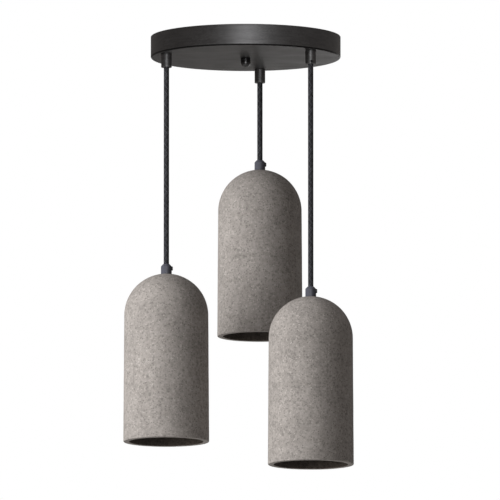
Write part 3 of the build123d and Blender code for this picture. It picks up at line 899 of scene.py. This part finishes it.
class PENDANT_OT_cords(bpy.types.Operator):
    """Braid the three cords: the entry through the grip, the neck below it, and the long run"""
    bl_idname = "pendant.cords"
    bl_label = "Cords"

    def execute(self, context):
        entry_top = corners("cord_entries")[1].z
        for side in SIDES:
            axis = middle(f"cord_run_{side}")
            pivot = middle(f"cord_flex_{side}").z
            run_low, run_high = (corner.z for corner in corners(f"cord_run_{side}"))
            seam = (run_high + corners(f"cord_top_{side}")[0].z) / 2

            def at(height):
                """The point on this cord's line at a height."""
                return axis.x, axis.y, height

            entry, _ = braided(f"cord_entry_{side}", [at(entry_top), at((entry_top + pivot) / 2), at(pivot)], 0.0)
            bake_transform(entry)
            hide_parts("cord_entries", f"cord_flex_{side}")
            neck, _ = braided(f"cord_neck_{side}", [at(pivot), at((pivot + seam) / 2), at(seam)], entry_top - pivot)
            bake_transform(neck)
            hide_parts(f"cord_top_{side}")

            length = seam - run_low
            reach = min(42 * MM, length / 2)
            stops = [seam, seam - reach, run_low + reach, run_low] if length > 0.1 else [
                seam, (seam + run_low) / 2, run_low]
            run, line = braided(f"cord_run_long_{side}", [at(height) for height in stops], entry_top - seam)
            show(run, f"cord_run_{side}", "black_cord", f"cord_run_{side}")
            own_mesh(run)
        return {"FINISHED"}


# ------------------------------------------------------------------ shades


def shade_outline(side):
    """A shade's outline from the middle of its crown down the outside and up the inside, and where the inside starts.

    Points are (radius, height). The outside is close together and the inside further apart.
    """
    low, high = corners(f"shade_{side}")
    rim_radius = (high.x - low.x) / 2
    wall, seat_radius, inner_seat_radius, flare = 8 * MM, 8 * MM, 13 * MM, 1.1 * MM
    dome = rim_radius - flare
    inner = dome - wall
    centre = (0.0, high.z - math.sqrt(dome**2 - seat_radius**2))
    turn_out = math.degrees(math.acos(seat_radius / dome))
    turn_in = math.degrees(math.acos(inner_seat_radius / inner))
    inner_top = centre[1] + math.sqrt(inner**2 - inner_seat_radius**2)
    bend = bpy.context.scene.pendant_sizes.rim_round
    fine, coarse = 1.25 * MM, 5 * MM
    outline = even_line((FITTING_HOLE, inner_top), (FITTING_HOLE, high.z), 2 * MM)
    outline += even_line((FITTING_HOLE, high.z), (seat_radius, high.z), fine)
    outline += arc(centre, dome, turn_out, 0, round(math.radians(turn_out) * dome / fine))
    outline += even_line((dome, centre[1]), (rim_radius, low.z + bend), fine)[1:]
    outline += arc((rim_radius - bend, low.z + bend), bend, 0, -90, 5)
    outline += even_line((rim_radius - bend, low.z), (rim_radius - wall + bend, low.z), fine)[1:]
    outline += arc((rim_radius - wall + bend, low.z + bend), bend, -90, -180, 5)
    inside_from = len(outline) - 3
    outline += even_line((rim_radius - wall, low.z + bend), (inner, centre[1]), coarse)[1:]
    outline += arc(centre, inner, 0, turn_in, 18)
    outline += even_line((inner_seat_radius, inner_top), (FITTING_HOLE, inner_top), 3 * MM)[1:]
    return outline, inside_from


def mark_inside(mesh, outline, inside_from, centre):
    """Mark each face of a shade's mesh that belongs to its inside, which is coloured with painted shade."""
    inner, outer = np.array(outline[inside_from:]), np.array(outline[:inside_from])
    flags = []
    for face in mesh.polygons:
        spot = (math.hypot(face.center.x - centre.x, face.center.y - centre.y), face.center.z)
        to_inner, to_outer = (np.hypot(*(part - spot).T).min() for part in (inner, outer))
        flags.append(to_inner < to_outer)
    mesh.attributes.new("inside", "BOOLEAN", "FACE").data.foreach_set("value", flags)


class PENDANT_OT_shades(bpy.types.Operator):
    """Cast the three concrete shades, with their air holes and painted shade on their insides"""
    bl_idname = "pendant.shades"
    bl_label = "Shades"

    def execute(self, context):
        for number, side in enumerate(SIDES):
            outline, inside_from = shade_outline(side)
            axis = middle(f"shade_{side}")
            piece = turned(f"shade_cast_{side}", outline, axis, 300)
            mark_inside(piece.data, outline, inside_from, axis)
            run_tree(piece, cast_surface_tree, {
                "Pit size": 3.4 * MM, "Pit share": 0.16, "Pit depth": context.scene.pendant_sizes.pit_depth,
                "Unevenness": 0.35 * MM, "Seed": 0.37 * number, "Outside": finish("concrete"),
                "Inside": finish("concrete_painted_shade_inside")})
            smooth(piece.data, 50)
            show(piece, f"lamp_{side}", "concrete", f"shade_{side}")
        return {"FINISHED"}


# ------------------------------------------------------------------ canopy and its fittings


def canopy_outline():
    """The canopy's outline as a closed ring: outside wall, rolled lower edge, plate, and back up the inside."""
    low, high = corners("canopy")
    radius = (high.x - low.x) / 2
    wall, edge, lip, hole = 1.5 * MM, 2 * MM, 0.4 * MM, 3.3 * MM
    outline = arc((radius - lip, high.z - lip), lip, 90, 0, 4)
    outline += even_line((radius, high.z - lip), (radius, low.z + edge), 3 * MM)[1:]
    outline += arc((radius - edge, low.z + edge), edge, 0, -90, 10)
    outline += even_line((radius - edge, low.z), (hole, low.z), 6 * MM)[1:]
    outline += [(hole, low.z)] + even_line((hole, low.z + wall), (radius - edge, low.z + wall), 6 * MM)
    outline += arc((radius - edge, low.z + edge), edge - wall, -90, 0, 4)
    outline += even_line((radius - wall, low.z + edge), (radius - wall, high.z), 6 * MM)[1:]
    return outline + [(radius - wall, high.z - lip), (radius - wall + lip, high.z)]


class PENDANT_OT_canopy(bpy.types.Operator):
    """Spin the canopy with its rolled edge and the holes that its grips stand in, and its cap nut"""
    bl_idname = "pendant.canopy"
    bl_label = "Canopy and cap nut"

    def execute(self, context):
        low = corners("canopy")[0].z
        shell = turned("canopy_shell", canopy_outline(), (0, 0), 256)
        axes = [middle(f"cord_grip_{side}").xy for side in SIDES]
        cut_away(shell, [rod((*axis, low - MM), (*axis, low + 5 * MM), FITTING_HOLE, 48) for axis in axes])
        give(shell, "canopy", 40)
        show(shell, "canopy", "black_metal", "canopy")

        low, high = (corner.z for corner in corners("cap_nut"))
        radius, bore, edge, well = span("cap_nut", 0) / 2, 3.05 * MM, 0.5 * MM, 9 * MM
        outline = [(0.0, low)] + arc((0.0, low + radius), radius, -90, 0, 16)[1:]
        outline += even_line((radius, low + radius), (radius, high - edge), MM)[1:]
        outline += arc((radius - edge, high - edge), edge, 0, 90, 4)
        outline += [(bore, high), (bore, high - well), (0.0, high - well)]
        nut = turned("cap_nut_turned", outline, (0, 0), 96)
        give(nut, "cap_nut", 40)
        show(nut, "cap_nut", "black_metal", "cap_nut")
        return {"FINISHED"}


def heading(degrees):
    """A level direction."""
    return Vector((math.cos(math.radians(degrees)), math.sin(math.radians(degrees)), 0.0))


class PENDANT_OT_grips(bpy.types.Operator):
    """Turn the three cord grips, with threaded necks, hexagon nuts and grub screws"""
    bl_idname = "pendant.grips"
    bl_label = "Cord grips"

    def execute(self, context):
        screws = []
        shoulder, plate, neck, edge = corners("canopy")[0].z, corners("grip_nuts")[0].z, 5 * MM, 0.9 * MM
        for side in SIDES:
            node = f"cord_grip_{side}"
            low, high = (corner.z for corner in corners(node))
            axis, radius = middle(node), span(node, 0) / 2
            outline = [(CORD_BORE, low + 0.5 * MM), (CORD_BORE + 0.5 * MM, low), (radius - 1.1 * MM, low)]
            outline += arc((radius - edge, low + edge), edge, -90, 0, 6)
            outline += even_line((radius, low + MM), (radius, shoulder - 0.3 * MM), 2 * MM)[1:]
            outline += [(radius, shoulder - 0.3 * MM), (radius - 0.3 * MM, shoulder), (neck, shoulder)]
            outline += even_line((neck, shoulder), (neck, high - 0.4 * MM), THREAD_STEP)[1:]
            outline += [(neck - 0.4 * MM, high), (CORD_BORE, high)]
            outline += even_line((CORD_BORE, high), (CORD_BORE, low + 0.5 * MM), 3 * MM)[1:]
            piece = turned(f"grip_{side}", outline, axis, 96)
            threaded(piece, axis, 1 * MM, 0.45 * MM, plate, high + MM, 4.4 * MM, "black_metal")
            facing = heading(GRIP_SCREW_TURNS[side])
            level = Vector((axis.x, axis.y, low + 3 * MM))
            cut_away(piece, [rod(level, level + facing * (radius + MM), 2.05 * MM, 32)])
            smooth(piece.data, 35)
            show(piece, "canopy", "black_metal", node)
            screws.append((level + facing * CORD_BORE, facing))
        grub = socket_screw_mesh(2 * MM, 3 * MM, 0.25 * MM)
        show(set_fasteners("grub_screws", grub, screws, "black_screw", seed=3), "canopy", "zinc_steel", "grip_screws")
        set_nuts("hex_nuts", "canopy", "grip_nuts", 14 * MM, NUT_BORE, [middle(f"cord_grip_{side}") for side in SIDES])
        return {"FINISHED"}


class PENDANT_OT_collars(bpy.types.Operator):
    """Turn the collar on each shade, and set its clamp screw"""
    bl_idname = "pendant.collars"
    bl_label = "Collars"

    def execute(self, context):
        facing = heading(CLAMP_SCREW_TURN)
        edge, shoulder, lead_in, thread_depth = 0.3 * MM, 1.45 * MM, 0.7 * MM, 4.5 * MM
        for side in SIDES:
            node = f"collar_{side}"
            low, high = (corner.z for corner in corners(node))
            axis, radius = middle(node), span(node, 0) / 2
            slope_top = high - (radius - CORD_BORE - 0.4 * MM) - 0.6 * MM
            outline = [(NUT_BORE, low + thread_depth), (NUT_BORE, low), (radius - edge, low)]
            outline += arc((radius - edge, low + edge), edge, -90, 0, 3)[1:]
            outline += even_line((radius, low + edge), (radius, slope_top), 1.5 * MM)[1:]
            outline += arc((radius - shoulder, slope_top), shoulder, 0, 45, 6)
            mouth = (CORD_BORE + lead_in, high - 0.2 * MM)
            outline += even_line(outline[-1], mouth, MM)[1:]
            outline += [mouth, (CORD_BORE + 0.4 * MM, high), (CORD_BORE, high), (CORD_BORE, low + thread_depth)]
            piece = turned(f"collar_turned_{side}", outline, axis, 96)
            level = Vector((axis.x, axis.y, middle(f"clamp_screw_{side}").z))
            seat = level + facing * (radius - 0.6 * MM)
            outside = level + facing * (radius + MM)
            cut_away(piece, [rod(level, outside, 1.55 * MM), rod(seat, outside, 2.75 * MM, 36)])
            give(piece, "collar_plastic", 35)
            show(piece, f"lamp_{side}", "collar_plastic", node)

            tip, shank = CORD_BORE - (radius - 0.6 * MM), 1.5 * MM
            work = bmesh.new()
            for mesh in (socket_screw_mesh(2.7 * MM, 1.9 * MM, 0.4 * MM), turned_mesh("shank", [
                    (0.0, tip), (shank - edge, tip), (shank, tip + edge), (shank, 0.0), (0.0, 0.0)], (0, 0), 32)):
                work.from_mesh(mesh)
                bpy.data.meshes.remove(mesh)
            screw = set_fasteners(f"clamp_screw_socket_{side}", mesh_of("clamp", work), [(seat, facing)],
                                  "black_screw", seed=5)
            show(screw, f"lamp_{side}", "black_screw", f"clamp_screw_{side}")
        return {"FINISHED"}


class PENDANT_OT_fittings(bpy.types.Operator):
    """Make the stud, the nipples, the nuts inside the shades and the terminal screws"""
    bl_idname = "pendant.fittings"
    bl_label = "Threaded fittings"

    def execute(self, context):
        low, high = (corner.z for corner in corners("centre_stud"))
        radius, edge = span("centre_stud", 0) / 2, 0.5 * MM
        outline = [(0.0, low), (radius - edge, low), (radius, low + edge)]
        outline += even_line((radius, low + edge), (radius, high), THREAD_STEP)[1:] + [(radius, high), (0.0, high)]
        stud = turned("stud_threaded", outline, (0, 0), 48)
        top = corners("ceiling_bracket")[0].z - span("stud_nut", 2)
        threaded(stud, (0.0, 0.0), 1 * MM, 0.5 * MM, low, top, 2.6 * MM)
        smooth(stud.data, 60)
        show(stud, "bracket", "zinc_steel", "centre_stud")
        set_nuts("stud_hex_nut", "bracket", "stud_nut", 10 * MM, 3.05 * MM, [Vector()])

        block, floor_of_wells = middle("terminal_block"), corners("terminal_screws")[0].z
        wells = [(Vector((block.x + dx, block.y + dy, floor_of_wells)), UP)
                 for dx in (-8 * MM, 8 * MM) for dy in (-4.5 * MM, 4.5 * MM)]
        screw = slotted_screw_mesh(2.3 * MM, 2.5 * MM, 1 * MM, 0.8 * MM)
        show(set_fasteners("terminal_slotted", screw, wells, "brass", seed=11), "canopy", "brass", "terminal_screws")

        bore, edge = 3.8 * MM, 0.4 * MM
        for side in SIDES:
            node = f"nipple_{side}"
            low, high = (corner.z for corner in corners(node))
            axis, radius = middle(node), span(node, 0) / 2
            outline = [(bore, low), (radius - edge, low), (radius, low + edge)]
            outline += even_line((radius, low + edge), (radius, high - edge), THREAD_STEP)[1:]
            outline += [(radius, high - edge), (radius - edge, high), (bore, high)]
            piece = turned(f"nipple_threaded_{side}", outline, axis, 64)
            threaded(piece, axis, 1 * MM, 0.45 * MM, low, high, 4.4 * MM)
            smooth(piece.data, 60)
            show(piece, f"lamp_{side}", "zinc_steel", node)
            set_nuts(f"lock_hex_nut_{side}", f"lamp_{side}", f"lock_nut_{side}", 14 * MM, NUT_BORE, [axis])
        return {"FINISHED"}


# ------------------------------------------------------------------ lampholders and bulbs


class PENDANT_OT_lampholders(bpy.types.Operator):
    """Mould the ribbed body of each lampholder"""
    bl_idname = "pendant.lampholders"
    bl_label = "Lampholders"

    def execute(self, context):
        inner, floor, hole, bend, edge = 15.5 * MM, 6 * MM, 1.2 * MM, 0.8 * MM, 0.3 * MM
        for side in SIDES:
            node = f"holder_body_{side}"
            low, high = (corner.z for corner in corners(node))
            axis, radius = middle(node), span(node, 0) / 2
            outline = [(0.0, high - floor), (inner, high - floor)]
            outline += arc((inner + bend, low + bend), bend, 180, 270, 4)
            outline += arc((radius - bend, low + bend), bend, -90, 0, 4)
            outline += even_line((radius, low + bend), (radius, high - edge), MM)[1:]
            outline += [(radius, high - edge), (radius - edge, high), (0.0, high)]
            piece = turned(f"holder_ribbed_{side}", outline, axis, 216)
            run_tree(piece, rib_tree, {
                "Centre": (axis.x, axis.y, 0.0), "Count": 36.0, "Depth": 0.6 * MM, "Low": low + 4 * MM,
                "High": high - 5 * MM, "Least radius": radius - 0.2 * MM, "Material": finish("holder_plastic")})
            cut_away(piece, [rod((axis.x + shift, axis.y, high - floor - MM), (axis.x + shift, axis.y, high + MM), hole)
                             for shift in (-6 * MM, 6 * MM)])
            smooth(piece.data, 40)
            show(piece, f"lamp_{side}", "holder_plastic", node)
        return {"FINISHED"}


class PENDANT_OT_bulbs(bpy.types.Operator):
    """Blow the opal bulbs and roll their threaded caps"""
    bl_idname = "pendant.bulbs"
    bl_label = "Bulbs"

    def execute(self, context):
        neck, wall, straight, bend, pitch = 14 * MM, 1 * MM, 5 * MM, 0.8 * MM, 3.6 * MM
        for side in SIDES:
            node = f"bulb_globe_{side}"
            low, high = (corner.z for corner in corners(node))
            axis, radius = middle(node), span(node, 0) / 2
            centre = (0.0, low + radius)
            drop = high - straight - centre[1]
            touch = math.degrees(math.atan2(drop, neck) - math.acos(radius / math.hypot(neck, drop)))
            outline = [(0.0, low)] + arc(centre, radius, -90, touch, 44)[1:]
            outline += bent(outline[-1], (neck, high - straight), (neck, high), 6 * MM)
            outline += [(neck - wall, high), (neck - wall, high - straight)]
            outline += arc(centre, radius - wall, touch, -90, 30)[:-1] + [(0.0, low + wall)]
            globe = turned(f"bulb_blown_{side}", outline, axis, 128)
            give(globe, "opal_glass", 60)
            show(globe, f"bulb_{side}", "opal_glass", node)

            node = f"bulb_cap_{side}"
            low, high = (corner.z for corner in corners(node))
            radius, shoulder = span(node, 0) / 2, high - 3 * MM
            outline = [(0.0, high), (3.6 * MM, high), (4.6 * MM, high - 0.5 * MM), (5 * MM, high - MM),
                       (9.6 * MM, high - 1.9 * MM), (radius - 1.2 * MM, shoulder + 0.3 * MM)]
            outline += arc((radius - bend, shoulder - bend), bend, 80, 0, 5)
            outline += even_line((radius, shoulder - bend), (radius, low), 0.3 * MM)[1:]
            cap = turned(f"bulb_cap_rolled_{side}", outline + [(radius, low), (0.0, low)], axis, 160)
            threaded(cap, axis, pitch, 1.1 * MM, low + 3 * MM, shoulder + MM, radius - 0.3 * MM, "cap_metal")
            smooth(cap.data, 60)
            show(cap, f"bulb_{side}", "cap_metal", node)
        return {"FINISHED"}


class PENDANT_OT_frame_finishes(bpy.types.Operator):
    """Give the frame's own pieces that stay in view their finishes"""
    bl_idname = "pendant.frame_finishes"
    bl_label = "Finishes of the frame's pieces"

    def execute(self, context):
        slots = {item["node"]: item["material_slot"] for item in frame["record"]["subparts"]}
        for name, node in frame["nodes"].items():
            node.data.materials.clear()
            node.data.materials.append(finish(slots[name]))
        return {"FINISHED"}


# ------------------------------------------------------------------ stage


def soft_light(name, power, size, place, target, unseen_by=None, tint=(1.0, 1.0, 1.0)):
    """A soft rectangular light at place that shines at target. unseen_by is a kind of ray that passes it by."""
    light = bpy.data.lights.new(name, "AREA")
    light.energy = power
    light.color = tint
    light.shape = "RECTANGLE"
    light.size, light.size_y = size
    lamp = place_object(name, light)
    lamp.location = place
    lamp.rotation_euler = (target - place).to_track_quat("-Z", "Y").to_euler()
    lamp.visible_camera = False
    if unseen_by:
        setattr(lamp, f"visible_{unseen_by}", False)


def white_world(glow):
    """A world that the camera sees as white and that lights, a little warmly, only as much as glow."""
    world = bpy.data.worlds.new("Studio")
    world.use_nodes = True
    tree = world.node_tree
    tree.nodes.clear()
    seen = add(tree, "ShaderNodeBackground", {"Color": (1.0, 1.0, 1.0), "Strength": 1.0})
    lit = add(tree, "ShaderNodeBackground", {"Color": (1.0, 0.92, 0.87), "Strength": glow})
    path = tree.nodes.new("ShaderNodeLightPath")
    mix = add(tree, "ShaderNodeMixShader", {0: path.outputs["Is Camera Ray"], 1: lit.outputs[0], 2: seen.outputs[0]})
    tree.links.new(mix.outputs[0], tree.nodes.new("ShaderNodeOutputWorld").inputs["Surface"])
    bpy.context.scene.world = world


def floor_material():
    """Pale matt floor with a faint mottling, unseen from beneath."""
    material, tree, shader, place = start_material("Pale floor")
    cloud = noise(tree, place, 1.5, 4.0)
    fill(tree, shader, {"Base Color": mixed(tree, cloud, (0.78, 0.78, 0.77), (0.84, 0.84, 0.83)), "Roughness": 0.9})
    behind = tree.nodes.new("ShaderNodeNewGeometry").outputs["Backfacing"]
    clear = tree.nodes.new("ShaderNodeBsdfTransparent")
    mix = add(tree, "ShaderNodeMixShader", {0: behind, 1: shader.outputs[0], 2: clear.outputs[0]})
    tree.links.new(mix.outputs[0], tree.nodes["Material Output"].inputs["Surface"])
    return material


class PENDANT_OT_stage(bpy.types.Operator):
    """Set the camera, the soft lights, the white surroundings and the floor"""
    bl_idname = "pendant.stage"
    bl_label = "Stage"

    def execute(self, context):
        stage = context.scene.pendant_stage
        forward = Vector((-math.sin(stage.azimuth), math.cos(stage.azimuth), 0.0))
        right = Vector((forward.y, -forward.x, 0.0))
        centre = right * 5.7 * MM - UP * 282.8 * MM
        back = UP * math.sin(stage.elevation) - forward * math.cos(stage.elevation)
        lens = bpy.data.cameras.new("Camera")
        lens.sensor_width = 36.0
        lens.lens = lens.sensor_width * stage.distance / stage.width
        lens.clip_end = 100.0
        camera = place_object("Camera", lens)
        camera.location = centre + back * stage.distance
        camera.rotation_mode = "QUATERNION"
        camera.rotation_quaternion = (-back).to_track_quat("-Z", "Y")
        context.scene.camera = camera

        target = UP * -0.32
        key_turn = math.radians(60)
        key_way = -right * math.sin(key_turn) - forward * math.cos(key_turn)
        front_way = (right * 0.02 - forward).normalized()
        soft_light("Key", stage.key_power, (2.1, 2.2), target + key_way * 2.4 + UP * 0.35, target, "glossy",
                   (1.0, 0.99, 0.975))
        soft_light("Front strip", stage.front_power, (1.15, 2.4), target + front_way * 3.0 - UP * 0.2, target,
                   "diffuse")
        soft_light("Low right", stage.low_power, (2.0, 0.9), target + forward * 4.0 + right * 1.05 - UP * 0.2,
                   Vector(), "diffuse")
        soft_light("Back fill", stage.back_power, (2.0, 2.0), target + forward * 3.0 - right * 0.4, target, "glossy")
        soft_light("Overhead", stage.top_power, (1.6, 1.6), UP * 2.4, Vector())
        white_world(0.19)
        context.scene.view_settings.view_transform = "Standard"
        bpy.ops.mesh.primitive_circle_add(vertices=96, radius=14.0, fill_type="NGON", location=(0, 0, -2.4))
        floor = context.object
        floor.name = "floor"
        floor.data.materials.append(floor_material())
        return {"FINISHED"}


# ------------------------------------------------------------------ sidebar and start


OPERATORS = (PENDANT_OT_frame_finishes, PENDANT_OT_cords, PENDANT_OT_canopy, PENDANT_OT_grips, PENDANT_OT_collars,
             PENDANT_OT_shades, PENDANT_OT_fittings, PENDANT_OT_lampholders, PENDANT_OT_bulbs, PENDANT_OT_stage)


class PENDANT_PT_sidebar(bpy.types.Panel):
    """The pendant light's settings and steps"""
    bl_label = "Cluster pendant"
    bl_idname = "PENDANT_PT_sidebar"
    bl_space_type = "VIEW_3D"
    bl_region_type = "UI"
    bl_category = "Pendant"

    def draw(self, context):
        for settings in (context.scene.pendant_looks, context.scene.pendant_sizes, context.scene.pendant_stage):
            box = self.layout.box()
            for name in settings.__annotations__:
                box.prop(settings, name)
        for operator in OPERATORS:
            self.layout.operator(operator.bl_idname)


SETTINGS = {"pendant_looks": PendantLooks, "pendant_sizes": PendantSizes, "pendant_stage": PendantStage}


def register():
    """Register the add-on's classes and settings."""
    for item in (*SETTINGS.values(), *OPERATORS, PENDANT_PT_sidebar):
        bpy.utils.register_class(item)
    for name, kind in SETTINGS.items():
        setattr(bpy.types.Scene, name, PointerProperty(type=kind))


def unregister():
    """Take the add-on's classes and settings away."""
    for name in SETTINGS:
        delattr(bpy.types.Scene, name)
    for item in reversed((*SETTINGS.values(), *OPERATORS, PENDANT_PT_sidebar)):
        bpy.utils.unregister_class(item)


def main():
    """Build the light around its frame."""
    register()
    bpy.ops.pendant.frame_finishes()
    bpy.ops.pendant.cords()
    bpy.ops.pendant.canopy()
    bpy.ops.pendant.grips()
    bpy.ops.pendant.collars()
    bpy.ops.pendant.shades()
    bpy.ops.pendant.fittings()
    bpy.ops.pendant.lampholders()
    bpy.ops.pendant.bulbs()
    bpy.ops.pendant.stage()


if __name__ == "__main__":
    main()
